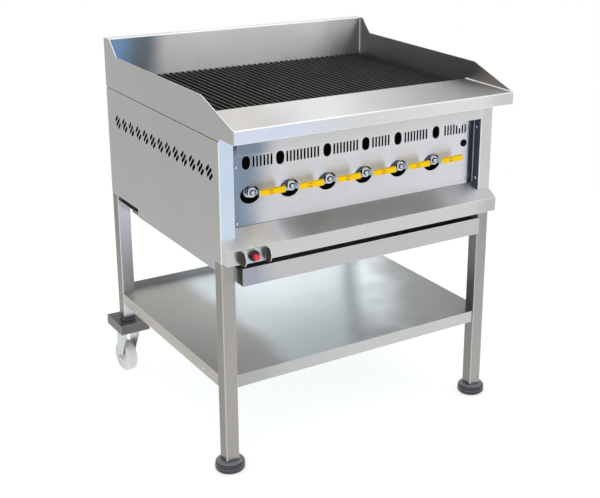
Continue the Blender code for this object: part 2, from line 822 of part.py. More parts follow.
def tray_runner(side, name):
    """A folded rail between the legs: the tray rides on its lower flange."""
    half_sheet = SHEET / 2
    web = TRAY_SIDE + 0.004
    line = [
        (side * (web - 0.022), TRAY_BOTTOM - GAP - half_sheet),
        (side * web, TRAY_BOTTOM - GAP - half_sheet),
        (side * web, TRAY_TOP - 0.004),
        (side * (HALF - SHEET - GAP), TRAY_TOP - 0.004),
    ]
    folded(name, "XZ", back(LEG + GAP), back(DEPTH - LEG - GAP), line, STAINLESS)


# ---------------------------------------------------------------- stand


def rounded_square(x, y, half, radius):
    points = []
    for quarter in range(4):
        start = math.pi / 2 * quarter
        corner_x = x + (half - radius) * (1 if quarter in (0, 3) else -1)
        corner_y = y + (half - radius) * (1 if quarter < 2 else -1)
        for i in range(4):
            turn = start + math.pi / 6 * i
            points.append((corner_x + radius * math.cos(turn), corner_y + radius * math.sin(turn)))
    return points


def leg(name, x, depth, low, high):
    """A square tube, open at its ends."""
    loops = [
        rounded_square(x, back(depth), LEG / 2, LEG_CORNER),
        rounded_square(x, back(depth), LEG / 2 - LEG_WALL, LEG_CORNER - LEG_WALL),
    ]
    plate(name, "XY", low, high, loops, STAINLESS)


def legs():
    for side, name in ((-1, "left"), (1, "right")):
        leg(f"front_{name}_leg", side * LEG_X, LEG / 2, FOOT_HEIGHT + GAP, CASING_BOTTOM - GAP)
        leg(f"rear_{name}_leg", side * LEG_X, REAR_LEG, COLLAR_TOP + GAP, CASING_BOTTOM - 0.003 - GAP)


def lower_shelf():
    """A tray-like shelf notched round the legs: edges folded down, an upstand at the back."""
    between = HALF - LEG - GAP
    outer = HALF - 0.0005
    front, rear = back(SHELF_FRONT), back(SHELF_REAR)
    front_leg, rear_leg = back(LEG + GAP), back(DEPTH - LEG - GAP)
    under, inside = SHELF_TOP - SHEET, SHELF_TOP - SHEET / 2
    shelf = box("lower_shelf", (-outer, front, under), (outer, rear, SHELF_TOP), STAINLESS)
    for side, name in ((-1, "left"), (1, "right")):
        xs = sorted((side * between, side * (outer + LEG)))
        for end, ys in (("front", (front - LEG, front_leg)), ("rear", (rear_leg, rear + LEG))):
            notch_low = (xs[0], ys[0], under - SHEET)
            notch_high = (xs[1], ys[1], SHELF_TOP + SHEET)
            notch = box(f"shelf_notch_{end}_{name}", notch_low, notch_high)
            combine(shelf, notch, operation="DIFFERENCE")
        xs = sorted((side * outer, side * (outer - SHEET)))
        low = (xs[0], front_leg + SHEET, SHELF_BOTTOM)
        high = (xs[1], rear_leg - SHEET, inside)
        combine(shelf, box(f"shelf_side_{name}", low, high))
    lip_side = between - SHEET
    lip_high = (lip_side, front + SHEET, inside)
    upstand_low = (-lip_side, rear - SHEET, inside)
    combine(
        shelf,
        box("shelf_lip", (-lip_side, front, SHELF_BOTTOM), lip_high),
        box("shelf_upstand", upstand_low, (lip_side, rear, UPSTAND)),
    )


def foot(side, name):
    """A round rubber foot under a front leg, with a groove round its rim."""
    profile = [
        (0, FOOT_HEIGHT),
        (FOOT_RADIUS - 0.010, FOOT_HEIGHT),
        (FOOT_RADIUS - 0.004, FOOT_HEIGHT - 0.002),
        (FOOT_RADIUS - 0.001, FOOT_HEIGHT - 0.006),
        (FOOT_RADIUS - 0.001, FOOT_HEIGHT - 0.013),
        (FOOT_RADIUS - 0.003, FOOT_HEIGHT - 0.0145),
        (FOOT_RADIUS, FOOT_HEIGHT - 0.016),
        (FOOT_RADIUS, 0.007),
        (FOOT_RADIUS - 0.004, 0.0015),
        (FOOT_RADIUS - 0.008, 0),
        (0, 0),
    ]
    turned(name, profile, RUBBER, (side * LEG_X, back(LEG / 2), 0))


def caster(side, name):
    """A housing on the rear leg, a fork that swivels under it, and a wheel behind the swivel."""
    x, y = side * LEG_X, back(REAR_LEG)
    wall = 0.0025
    low = (x - HOUSING_X / 2, y - HOUSING_Y / 2, HOUSING_BOTTOM)
    high = (x + HOUSING_X / 2, y + HOUSING_Y / 2, HOUSING_TOP)
    housing = box(f"{name}_caster_housing", low, high, STAINLESS)
    room_low = (low[0] + wall, low[1] + wall, low[2] - wall)
    room_high = (high[0] - wall, high[1] - wall, high[2] - wall)
    combine(housing, box(f"{name}_housing_room", room_low, room_high), operation="DIFFERENCE")
    collar_half = LEG / 2 - 0.002
    collar_low = (x - collar_half, y - collar_half, HOUSING_TOP - wall / 2)
    collar_high = (x + collar_half, y + collar_half, COLLAR_TOP)
    race_top = HOUSING_TOP - wall / 2
    combine(
        housing,
        box(f"{name}_collar", collar_low, collar_high),
        rod(f"{name}_race", (x, y, HOUSING_BOTTOM - 0.003), (x, y, race_top), 0.030, 24),
    )

    # The fork and the wheel are drawn trailing straight back and then turned.
    crown_top = HOUSING_BOTTOM - 0.003 - GAP
    crown_low = crown_top - 0.009
    fork = rod(f"{name}_caster_fork", (0, 0, crown_low), (0, 0, crown_top), 0.036, 24, ZINC, (0, 0, 0))
    inner = WHEEL_WIDTH / 2 + 0.0025
    outer = inner + 0.0030
    axle_end = [
        (TRAIL + 0.013 * math.cos(turn), WHEEL_RADIUS + 0.013 * math.sin(turn))
        for turn in (-math.pi * i / 8 for i in range(9))
    ]
    leg_outline = [(-0.034, crown_low + 0.004), (0.036, crown_low + 0.004), *axle_end]
    for sign, end in ((-1, "a"), (1, "b")):
        xs = sorted((sign * inner, sign * outer))
        combine(fork, plate(f"{name}_fork_leg_{end}", "YZ", *xs, [leg_outline]))
    reach = outer + 0.005
    axle = ((-reach, TRAIL, WHEEL_RADIUS), (reach, TRAIL, WHEEL_RADIUS))
    combine(fork, rod(f"{name}_axle", *axle, 0.005, 16))
    fork = frozen(fork)
    swivel = Matrix.Translation((x, y, 0)) @ Matrix.Rotation(CASTER_TURN, 4, "Z")
    fork.matrix_world = swivel

    bore = 0.0055
    side_face = WHEEL_WIDTH / 2
    profile = [
        (bore, side_face),
        (0.014, side_face),
        (0.016, side_face - 0.006),
        (WHEEL_RADIUS - 0.013, side_face - 0.006),
        (WHEEL_RADIUS - 0.010, side_face - 0.001),
        (WHEEL_RADIUS - 0.003, side_face - 0.002),
        (WHEEL_RADIUS, TREAD_HALF),
    ]
    profile += [(r, -h) for r, h in reversed(profile)]
    profile.append(profile[0])
    wheel = turned(f"{name}_caster_wheel", profile, NYLON, (0, 0, 0), 32)
    lay_down = Matrix.Rotation(math.radians(90), 4, "Y")
    wheel.matrix_world = swivel @ Matrix.Translation((0, TRAIL, WHEEL_RADIUS)) @ lay_down


# ---------------------------------------------------------------- the whole grill

deck_plate()
side_shield(-1, "left_side_shield")
side_shield(1, "right_side_shield")
rear_splashback()
side_panel(-1, "left_side_panel")
side_panel(1, "right_side_panel")
back_panel()
fascia_band()
control_panel()
panel_plug()
apron_ledge()
igniter()
gas_manifold()
valves()
levers()
burners()
firebox()
radiant_rack()
grates()
drip_tray()
tray_runner(-1, "left_tray_runner")
tray_runner(1, "right_tray_runner")
legs()
lower_shelf()
foot(-1, "front_left_foot")
foot(1, "front_right_foot")
caster(-1, "rear_left")
caster(1, "rear_right")
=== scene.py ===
"""The looks of the charbroiler grill: its finishes, small fittings, light and camera.

Everything is in metres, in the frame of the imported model. The front faces -Y.
"""

import math

import bmesh
import bpy
from mathutils import Matrix, Vector


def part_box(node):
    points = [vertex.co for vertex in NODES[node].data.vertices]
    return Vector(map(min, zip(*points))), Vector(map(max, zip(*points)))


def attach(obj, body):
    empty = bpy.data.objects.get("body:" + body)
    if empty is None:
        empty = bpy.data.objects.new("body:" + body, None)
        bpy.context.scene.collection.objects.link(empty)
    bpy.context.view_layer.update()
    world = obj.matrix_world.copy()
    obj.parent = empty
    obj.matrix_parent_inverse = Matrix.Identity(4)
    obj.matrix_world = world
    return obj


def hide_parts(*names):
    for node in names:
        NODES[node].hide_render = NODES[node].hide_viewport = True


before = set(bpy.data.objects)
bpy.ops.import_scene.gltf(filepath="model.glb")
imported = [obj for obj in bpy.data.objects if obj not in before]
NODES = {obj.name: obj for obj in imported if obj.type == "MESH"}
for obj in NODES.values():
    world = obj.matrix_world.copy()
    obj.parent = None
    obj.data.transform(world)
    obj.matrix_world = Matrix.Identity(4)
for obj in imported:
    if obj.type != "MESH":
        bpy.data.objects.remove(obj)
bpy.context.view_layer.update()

PIECES = bpy.data.collections.new("fittings")
bpy.context.scene.collection.children.link(PIECES)


def low(node):
    return Vector(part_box(node)[0])


def high(node):
    return Vector(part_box(node)[1])


def middle(node):
    return (low(node) + high(node)) / 2


FRONT = low("front_left_leg").y  # the legs' front faces
TAPS = 6

# ---------------------------------------------------------------- materials


class Graph:
    """A node tree built by naming each node's kind, its inputs and its settings."""

    def __init__(self, tree):
        self.tree = tree

    def add(self, kind, inputs=(), **settings):
        made = self.tree.nodes.new("ShaderNode" + kind)
        for key, value in settings.items():
            setattr(made, key, value)
        for socket, value in dict(inputs).items():
            self.put(made.inputs[socket], value)
        return made

    def put(self, socket, value):
        if isinstance(value, bpy.types.NodeSocket):
            self.tree.links.new(value, socket)
        else:
            socket.default_value = value

    def place(self, scale=(1, 1, 1)):
        """The point on the object at rest, stretched by a scale."""
        point = self.add("TexCoord").outputs["Object"]
        return self.add("Mapping", {"Vector": point, "Scale": scale}).outputs["Vector"]

    def noise(self, point, scale, detail=2.0, roughness=0.5):
        inputs = {"Vector": point, "Scale": scale, "Detail": detail, "Roughness": roughness}
        return self.add("TexNoise", inputs).outputs["Fac"]

    def spread(self, value, low_end, high_end, start=0.3, stop=0.7):
        """A number that goes from low_end to high_end as the value goes from start to stop."""
        inputs = {
            "Value": value,
            "From Min": start,
            "From Max": stop,
            "To Min": low_end,
            "To Max": high_end,
        }
        return self.add("MapRange", inputs).outputs["Result"]

    def mix(self, share, first, second, blend="MIX"):
        made = self.add("Mix", data_type="RGBA", blend_type=blend)
        self.put(made.inputs["Factor"], share)
        self.put(made.inputs[6], first)
        self.put(made.inputs[7], second)
        return made.outputs[2]

    def dot(self, vector, axis):
        inputs = {0: vector, 1: Vector(axis)}
        return self.add("VectorMath", inputs, operation="DOT_PRODUCT").outputs["Value"]

    def math(self, operation, first, second):
        return self.add("Math", {0: first, 1: second}, operation=operation).outputs["Value"]

    def facing(self, axis):
        """1 on faces of the object that look along the axis, else 0."""
        normal = self.add("TexCoord").outputs["Normal"]
        return self.spread(self.dot(normal, axis), 0, 1, 0.70, 0.75)

    def edges(self, radius, folded):
        """1 on cut edges and on folds, whose faces lie askew to the axes, and 0 on flat faces."""
        rounded = self.add("Bevel", {"Radius": radius}, samples=6).outputs["Normal"]
        flat = self.add("NewGeometry").outputs["Normal"]
        inputs = {0: rounded, 1: flat}
        level = self.add("VectorMath", inputs, operation="DOT_PRODUCT").outputs["Value"]
        cut = self.spread(level, 1.0, 0.0, 0.82, 0.985)
        normal = self.add("TexCoord").outputs["Normal"]
        sizes = self.add("VectorMath", {0: normal}, operation="ABSOLUTE").outputs["Vector"]
        parts = self.add("SeparateXYZ", {0: sizes}).outputs
        largest = self.math("MAXIMUM", self.math("MAXIMUM", parts["X"], parts["Y"]), parts["Z"])
        fold = self.spread(largest, 1.0, 0.0, folded - 0.03, folded)
        return self.math("MAXIMUM", cut, fold)

    def soft_edges(self, radius, height, depth):
        """The surface's normal, rounded at edges and roughened by a height."""
        rounded = self.add("Bevel", {"Radius": radius}, samples=4).outputs["Normal"]
        inputs = {"Height": height, "Strength": 1.0, "Distance": depth, "Normal": rounded}
        return self.add("Bump", inputs).outputs["Normal"]


def shader(name, metallic, **inputs):
    """A new material and its graph, with plain values on the shader's own sockets."""
    made = bpy.data.materials.new(name)
    made.use_nodes = True
    graph = Graph(made.node_tree)
    principled = made.node_tree.nodes["Principled BSDF"]
    principled.inputs["Metallic"].default_value = metallic
    for socket, value in inputs.items():
        principled.inputs[socket].default_value = value
    return made, graph, principled


ALONG = {"X": (1, 0, 0), "Y": (0, 1, 0), "Z": (0, 0, 1)}
FINE, LONG = 900, 5  # the grain's lines are this fine across and this drawn out along
# painted highlight: the pale colour mixed into the base colour on cut edges and folds
EDGE_GLINT = (0.95, 0.955, 0.96, 1)


def painted_light_share(graph, faces, axis, full, gone):
    """How strong a painted patch of light and shade is, from 1 where it is full along the axis to 0 where
    it is gone.
    """
    wander = 0.17 * abs(gone - full)
    drift = graph.spread(graph.noise(graph.place(), 5.0), -wander, wander)
    along = graph.math("ADD", graph.dot(graph.place(), axis), drift)
    fading = graph.add("MapRange", {0: along, 1: full, 2: gone}, interpolation_type="SMOOTHERSTEP")
    strength = graph.math("SUBTRACT", 1.0, fading.outputs["Result"])
    return graph.math("MULTIPLY", strength, graph.facing(faces))


def brushed(
    name,
    colour,
    grain,
    roughness=0.34,
    streak=0.05,
    edge=0.0019,
    glint=0.95,
    parts=(),
    painted_light=(),
    folded=0.985,
):
    """Stainless sheet. A fine grain spreads reflections across itself, and its folds and cut edges get a
    painted glint.

    Each of parts is (axis, colour, grain): faces that look along the axis take that grain, and that colour
    as painted light and shade.
    Each painted light entry is (faces, axis, full, gone, colour): on the faces that look along the first, a
    painted shade (colour below 1) or painted highlight (above 1) that is full at one place along the axis
    and gone at the next.
    """
    made, graph, principled = shader(name, 1.0, Anisotropic=0.85)
    principled.inputs["Anisotropic Rotation"].default_value = 0.25
    direction = ALONG[grain]
    scale = tuple(LONG if part else FINE for part in direction)
    lines = graph.noise(graph.place(scale), 1.0, 4.0, 0.7)
    smears = graph.noise(graph.place(), 6.0, 4.0, 0.6)
    inputs = {0: direction[0], 1: direction[1], 2: direction[2]}
    tangent = graph.add("CombineXYZ", inputs).outputs["Vector"]
    base = (*colour, 1)
    # painted light and shade: each facing of the sheet gets its own lit or shaded tone
    for axis, other, other_grain in parts:
        share = graph.facing(axis)
        base = graph.mix(share, base, (*other, 1))
        tangent = graph.mix(share, tangent, (*ALONG[other_grain], 1))
    # painted light and shade: patches of darker or paler colour multiplied into the base colour
    for *span, tint in painted_light:
        painted_patch = graph.mix(painted_light_share(graph, *span), (1, 1, 1, 1), (*tint, 1))
        base = graph.mix(1.0, base, painted_patch, "MULTIPLY")
    base = graph.mix(1.0, base, graph.spread(smears, 0.95, 1.02), "MULTIPLY")
    base = graph.mix(1.0, base, graph.spread(lines, 1 - streak, 1 + streak, 0.35, 0.65), "MULTIPLY")
    # painted glint: cut edges and folds turn towards a pale colour
    folds = graph.spread(graph.edges(edge, folded), 0, glint, 0, 1)
    graph.put(principled.inputs["Base Color"], graph.mix(folds, base, EDGE_GLINT))
    graph.put(principled.inputs["Tangent"], tangent)
    graph.put(principled.inputs["Roughness"], graph.spread(smears, roughness - 0.02, roughness + 0.03))
    graph.put(principled.inputs["Normal"], graph.soft_edges(edge * 0.7, lines, 0.000004))
    return made


def speckled(
    name, metallic, light, deep, roughness, cloud_scale, grain_scale, bump, edge=0.0008, top_highlight=None, **inputs
):
    """A cast, moulded or plated surface: uneven colour, an uneven gloss and a faint grain.

    Faces that look up are painted paler by the given top factor, a painted highlight on their tops.
    """
    made, graph, principled = shader(name, metallic, **inputs)
    cloud = graph.noise(graph.place(), cloud_scale, 3.0)
    grain = graph.noise(graph.place(), grain_scale, 3.0, 0.6)
    base = graph.mix(graph.spread(cloud, 0, 1), (*deep, 1), (*light, 1))
    # painted highlight: upward faces made paler
    if top_highlight:
        highlit_top = graph.mix(1.0, base, (top_highlight, top_highlight, top_highlight * 1.04, 1), "MULTIPLY")
        base = graph.mix(graph.facing(UPWARD), base, highlit_top)
    graph.put(principled.inputs["Base Color"], base)
    graph.put(principled.inputs["Roughness"], graph.spread(grain, *roughness))
    graph.put(principled.inputs["Normal"], graph.soft_edges(edge, grain, bump))
    return made


def moulded(name, colour, roughness, bump=0.00004, variation=0.12, edge=0.0008, top_highlight=None, **inputs):
    deep = tuple(c * (1 - variation) for c in colour)
    gloss = (roughness - 0.04, roughness + 0.06)
    return speckled(name, 0.0, colour, deep, gloss, 40, 900, bump, edge, top_highlight, **inputs)


def plated(name, colour, roughness, mottling):
    deep = tuple(c * (1 - mottling) for c in colour)
    return speckled(name, 1.0, colour, deep, (roughness, roughness + 0.08), 160, 260, 0.00002)


FRONTWARD, UPWARD, LEFTWARD, RIGHTWARD = (0, -1, 0), (0, 0, 1), (-1, 0, 0), (1, 0, 0)
SIDE_TONE = (0.425, 0.425, 0.42)
# painted shade: the shields' inner faces, darker than their outer faces
PAINTED_INNER_SHADE = (0.19, 0.185, 0.18)
# painted shade: the right post's inner return face, dark blue-grey
PAINTED_RETURN_SHADE = (0.10, 0.12, 0.15)
# painted shade: the apron's sloped top, darker than its front
PAINTED_SLOPE_SHADE = (0.42, 0.425, 0.435)
# painted shade: the legs' outer and inner faces darker than their fronts
LEG_TONE, PAINTED_LEG_SIDE_SHADE, PAINTED_LEG_INSIDE_SHADE = (0.38, 0.365, 0.35), (0.28, 0.262, 0.238), (0.25, 0.245, 0.24)
# painted light: the rear left leg paler and bluer than the front legs
PAINTED_REAR_LEG_LIGHT = (0.64, 0.63, 0.70)
# painted shade: a cool blue darkening towards the left ends of the front faces
PAINTED_LEFT_END_SHADE = (FRONTWARD, RIGHTWARD, -0.38, -0.26, (0.34, 0.43, 0.56))

# Painted reflection: the post's front faces paler and bluer than its sides.
LEFT_STEEL = brushed("left_steel", SIDE_TONE, "Y", parts=((FRONTWARD, (0.65, 0.76, 0.90), "Z"),))
# Painted light and shade: the front faces paler than the sides, and the inner return painted dark.
RIGHT_STEEL = brushed(
    "right_steel",
    SIDE_TONE,
    "Y",
    parts=((FRONTWARD, (0.67, 0.67, 0.675), "Z"), (LEFTWARD, PAINTED_RETURN_SHADE, "Z")),
)
BACK_STEEL = brushed("back_steel", SIDE_TONE, "X")
# Painted shade on the inner face.
LEFT_SHIELD_STEEL = brushed("left_shield_steel", SIDE_TONE, "Y", parts=((RIGHTWARD, PAINTED_INNER_SHADE, "Y"),))
# Painted shade on the inner face, with painted highlights towards its rear and at its front end.
RIGHT_SHIELD_STEEL = brushed(
    "right_shield_steel",
    SIDE_TONE,
    "Y",
    parts=((LEFTWARD, PAINTED_INNER_SHADE, "Y"),),
    painted_light=(
        (LEFTWARD, FRONTWARD, -0.42, -0.10, (1.9, 1.95, 2.05)),
        (LEFTWARD, FRONTWARD, 0.36, 0.24, (1.45, 1.40, 1.35)),
    ),
)
# Painted light and shade: the front darker towards each end, a bright blue painted highlight at the very
# left end, and the top darker than the front.
SPLASH_STEEL = brushed(
    "splash_steel",
    (0.94, 0.94, 0.945),
    "X",
    0.42,
    painted_light=(
        (FRONTWARD, RIGHTWARD, -0.34, -0.24, (0.27, 0.32, 0.37)),
        (FRONTWARD, RIGHTWARD, -0.45, -0.34, (1.3, 1.9, 2.7)),
        (FRONTWARD, RIGHTWARD, 0.42, 0.22, (0.46, 0.46, 0.46)),
    ),
    parts=((UPWARD, (0.62, 0.62, 0.63), "X"),),
)
# Painted light and shade: the front lip paler than the top, painted bluish on its left and darker at its
# right end, and the top darker at its left end.
DECK_STEEL = brushed(
    "deck_steel",
    (0.60, 0.59, 0.58),
    "X",
    0.30,
    parts=((FRONTWARD, (0.68, 0.69, 0.69), "X"),),
    painted_light=(
        (FRONTWARD, RIGHTWARD, -0.30, -0.05, (0.97, 1.03, 1.22)),
        (FRONTWARD, RIGHTWARD, 0.46, 0.30, (0.82, 0.81, 0.80)),
        (UPWARD, RIGHTWARD, -0.40, -0.16, (0.76, 0.745, 0.73)),
    ),
)
# Painted shade at the left end, and a painted reflection of the right return: a dark blue band at the right
# end.
FACE_STEEL = brushed(
    "face_steel",
    (0.67, 0.675, 0.70),
    "X",
    painted_light=(PAINTED_LEFT_END_SHADE, (FRONTWARD, RIGHTWARD, 0.388, 0.385, (0.30, 0.36, 0.46))),
)
# Painted shade at the left end.
BAND_STEEL = brushed("band_steel", (0.63, 0.63, 0.64), "X", painted_light=(PAINTED_LEFT_END_SHADE,))
# Painted light and shade: the slope darker than the front, painted highlights at the slope's left and right
# ends, and the front darker at its right end.
APRON_STEEL = brushed(
    "apron_steel",
    (0.61, 0.605, 0.605),
    "X",
    parts=((LEFTWARD, (0.6, 0.6, 0.6), "Y"), (UPWARD, PAINTED_SLOPE_SHADE, "X")),
    painted_light=(
        (UPWARD, RIGHTWARD, -0.30, -0.18, (1.75, 1.8, 2.0)),
        (UPWARD, RIGHTWARD, -0.33, -0.22, (2.1, 2.1, 2.1)),
        (UPWARD, RIGHTWARD, 0.43, 0.10, (1.7, 1.7, 1.7)),
        (FRONTWARD, RIGHTWARD, 0.44, 0.34, (0.84, 0.84, 0.84)),
    ),
    folded=0.84,
)
# Painted shade: the left side darker than the front, and the front bluish and darker at its left end.
TRAY_STEEL = brushed(
    "tray_steel",
    (0.53, 0.53, 0.54),
    "X",
    parts=((LEFTWARD, (0.35, 0.35, 0.36), "Y"),),
    painted_light=((FRONTWARD, RIGHTWARD, -0.39, -0.26, (0.68, 0.72, 0.86)),),
)
# Painted light and shade: a bluish base for a painted reflection, the top darker at its right rear and its
# left end, the front darker to the left, and the front lip and left flange darker than the top.
SHELF_STEEL = brushed(
    "shelf_steel",
    (0.83, 0.91, 0.94),
    "X",
    0.33,
    painted_light=(
        (UPWARD, (0.857, -0.515, 0), 0.38, 0.10, (0.38, 0.355, 0.345)),
        (UPWARD, RIGHTWARD, -0.285, -0.195, (0.68, 0.62, 0.575)),
        (FRONTWARD, RIGHTWARD, -0.40, -0.05, (0.76, 0.77, 0.79)),
    ),
    parts=((FRONTWARD, (0.56, 0.56, 0.56), "X"), (LEFTWARD, (0.44, 0.42, 0.385), "Y")),
)
# Painted shade: each leg's outer and inner faces darker than its front.
LEFT_LEG_STEEL = brushed(
    "left_leg_steel",
    LEG_TONE,
    "Z",
    edge=0.003,
    glint=0.3,
    parts=((LEFTWARD, PAINTED_LEG_SIDE_SHADE, "Z"), (RIGHTWARD, PAINTED_LEG_INSIDE_SHADE, "Z")),
)
RIGHT_LEG_STEEL = brushed(
    "right_leg_steel",
    LEG_TONE,
    "Z",
    edge=0.003,
    glint=0.3,
    parts=((RIGHTWARD, PAINTED_LEG_SIDE_SHADE, "Z"), (LEFTWARD, PAINTED_LEG_INSIDE_SHADE, "Z")),
)
# Painted light: paler and bluer than the front legs, with the same painted side shade.
REAR_LEFT_LEG_STEEL = brushed(
    "rear_left_leg_steel",
    PAINTED_REAR_LEG_LIGHT,
    "Z",
    edge=0.003,
    glint=0.3,
    parts=((LEFTWARD, PAINTED_LEG_SIDE_SHADE, "Z"), (RIGHTWARD, PAINTED_LEG_INSIDE_SHADE, "Z")),
)
HOUSING_STEEL = brushed("housing_steel", (0.17, 0.165, 0.158), "X", glint=0.6)
INNER_STEEL = brushed("inner_steel", (0.045, 0.043, 0.040), "X", 0.5, glint=0.1)
# Painted reflection: the side faces (the ears) painted near black, the front face pale.
GUARD_STEEL = brushed(
    "guard_steel",
    (0.055, 0.052, 0.046),
    "Z",
    parts=((FRONTWARD, (0.55, 0.58, 0.62), "X"),),
)
# bright metal for the weld beads and screws, and for the painted glint strip at the panel's right end
WELD_AND_GLINT = speckled(
    "weld_bead", 0.25, (0.95, 0.95, 0.96), (0.80, 0.80, 0.82), (0.35, 0.5), 160, 260, 0.00002
)
# Painted highlight: the grates' upward faces painted paler.
IRON = speckled(
    "cast_iron",
    0.0,
    (0.013, 0.011, 0.009),
    (0.005, 0.0045, 0.004),
    (0.44, 0.7),
    22,
    420,
    0.0006,
    0.0010,
    top_highlight=3.2,
)
YELLOW = moulded("yellow_grip", (1.0, 0.62, 0.0), 0.50, variation=0.06, **{"Specular IOR Level": 0.12})
MARK = moulded("dark_mark", (0.30, 0.17, 0.0), 0.6)
RED = moulded("red_button", (0.90, 0.03, 0.055), 0.30)
BLACK = moulded("black_plastic", (0.010, 0.010, 0.011), 0.34)
PLUG = moulded("matt_black_plastic", (0.008, 0.008, 0.009), 0.7, **{"Specular IOR Level": 0.05})
# Painted highlight: the feet's upward faces painted paler.
RUBBER = moulded("black_rubber", (0.030, 0.030, 0.033), 0.30, 0.0001, top_highlight=6.0)
NYLON = moulded("nylon", (0.72, 0.71, 0.68), 0.45, 0.00006, 0.10, 0.0015)
CHROME = plated("chrome", (0.72, 0.78, 0.86), 0.12, 0.15)
DARK_WASHER = plated("dark_washer", (0.10, 0.10, 0.12), 0.25, 0.3)
NICKEL = plated("nickel", (0.62, 0.64, 0.68), 0.22, 0.3)
ZINC = plated("zinc", (0.66, 0.70, 0.68), 0.30, 0.25)
PIPE = plated("pipe", (0.20, 0.20, 0.21), 0.42, 0.2)

FINISHES = {
    "deck_plate": DECK_STEEL,
    "left_side_shield": LEFT_SHIELD_STEEL,
    "right_side_shield": RIGHT_SHIELD_STEEL,
    "rear_splashback": SPLASH_STEEL,
    "left_side_panel": LEFT_STEEL,
    "right_side_panel": RIGHT_STEEL,
    "back_panel": BACK_STEEL,
    "fascia_band": BAND_STEEL,
    "control_panel": FACE_STEEL,
    "panel_plug": PLUG,
    "apron_ledge": APRON_STEEL,
    "igniter_guard": GUARD_STEEL,
    "igniter_body": BLACK,
    "igniter_button": RED,
    "gas_manifold": PIPE,
    "firebox": INNER_STEEL,
    "radiant_rack": IRON,
    "drip_tray": TRAY_STEEL,
    "left_tray_runner": TRAY_STEEL,
    "right_tray_runner": TRAY_STEEL,
    "lower_shelf": SHELF_STEEL,
    "front_left_foot": RUBBER,
    "front_right_foot": RUBBER,
}
FINISHES["front_left_leg"], FINISHES["rear_left_leg"] = LEFT_LEG_STEEL, REAR_LEFT_LEG_STEEL
FINISHES["front_right_leg"], FINISHES["rear_right_leg"] = RIGHT_LEG_STEEL, RIGHT_LEG_STEEL
for side in ("left", "right"):
    FINISHES[f"rear_{side}_caster_housing"] = HOUSING_STEEL
    FINISHES[f"rear_{side}_caster_fork"] = ZINC
    FINISHES[f"rear_{side}_caster_wheel"] = NYLON
for tap in range(1, TAPS + 1):
    FINISHES[f"valve_{tap}"] = NICKEL
    FINISHES[f"lever_{tap}"] = CHROME
    FINISHES[f"lever_grip_{tap}"] = YELLOW
    FINISHES[f"burner_{tap}"] = IRON
for grate in (1, 2, 3):
    FINISHES[f"grate_{grate}"] = IRON

for node_name, finish in FINISHES.items():
    mesh = NODES[node_name].data
    mesh.materials.clear()
    mesh.materials.append(finish)

# ---------------------------------------------------------------- small fittings


def fitting(name, work, finish, body):
    """A piece of the visual model, from a bmesh, that moves with a CAD body."""
    mesh = bpy.data.meshes.new(name)
    bmesh.ops.recalc_face_normals(work, faces=work.faces)
    work.to_mesh(mesh)
    work.free()
    mesh.materials.append(finish)
    for polygon in mesh.polygons:
        polygon.use_smooth = True
    made = bpy.data.objects.new(name, mesh)
    PIECES.objects.link(made)
    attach(made, body)
    return made


def lathe(work, profile, place, outward, segments=24):
    """Turns a profile of (radius, height) points about an outward axis through a place."""
    turn = Matrix.Translation(place) @ Vector(outward).to_track_quat("Z", "Y").to_matrix().to_4x4()
    rings = []
    for radius, height in profile:
        count = segments if radius > 0 else 1
        angles = (2 * math.pi * i / segments for i in range(count))
        points = (Vector((radius * math.cos(a), radius * math.sin(a), height)) for a in angles)
        rings.append([work.verts.new(turn @ point) for point in points])
    for first, second in zip(rings, rings[1:]):
        for i in range(segments):
            j = (i + 1) % segments
            inner = [first[i % len(first)], first[j % len(first)]]
            outer = [second[j % len(second)], second[i % len(second)]]
            work.faces.new(list(dict.fromkeys(inner + outer)))
    for ring in (rings[0], rings[-1]):
        if len(ring) > 1:
            work.faces.new(ring)


def block(work, lower, upper, bevel, segments=2):
    """A box between two corners with rounded edges."""
    size, centre = Vector(upper) - Vector(lower), (Vector(upper) + Vector(lower)) / 2
    place = Matrix.Translation(centre) @ Matrix.Diagonal((*size, 1))
    made = bmesh.ops.create_cube(work, size=1, matrix=place)["verts"]
    edges = list({edge for vert in made for edge in vert.link_edges})
    bmesh.ops.bevel(work, geom=edges, offset=bevel, segments=segments, affect="EDGES", profile=0.5)


def slotted_head(work, place, outward, radius, height):
    """A domed screw head in two halves, with a slot between them down to a disc."""
    turn = Matrix.Translation(place) @ Vector(outward).to_track_quat("Z", "Y").to_matrix().to_4x4()
    slot, floor = radius * 0.16, height * 0.45
    disc = [(0, 0), (radius * 0.96, 0), (radius, floor * 0.5), (radius, floor), (0, floor)]
    lathe(work, disc, place, outward)
    for side in (1, -1):
        steps = 10
        first = math.asin(slot / radius)
        arc = [first + (math.pi - 2 * first) * i / steps for i in range(steps + 1)]
        rings = []
        for share, level in ((1.0, floor * 0.9), (1.0, height * 0.7), (0.82, height * 0.95), (0.5, height)):
            ring = []
            for angle in arc:
                across = max(radius * share * math.sin(angle), slot)
                point = Vector((radius * share * math.cos(angle), side * across, level))
                ring.append(work.verts.new(turn @ point))
            rings.append(ring)
        for lower, upper in zip(rings, rings[1:]):
            for i in range(len(arc)):
                j = (i + 1) % len(arc)
                work.faces.new([lower[i], lower[j], upper[j], upper[i]])
        work.faces.new(rings[0])
        work.faces.new(rings[-1])


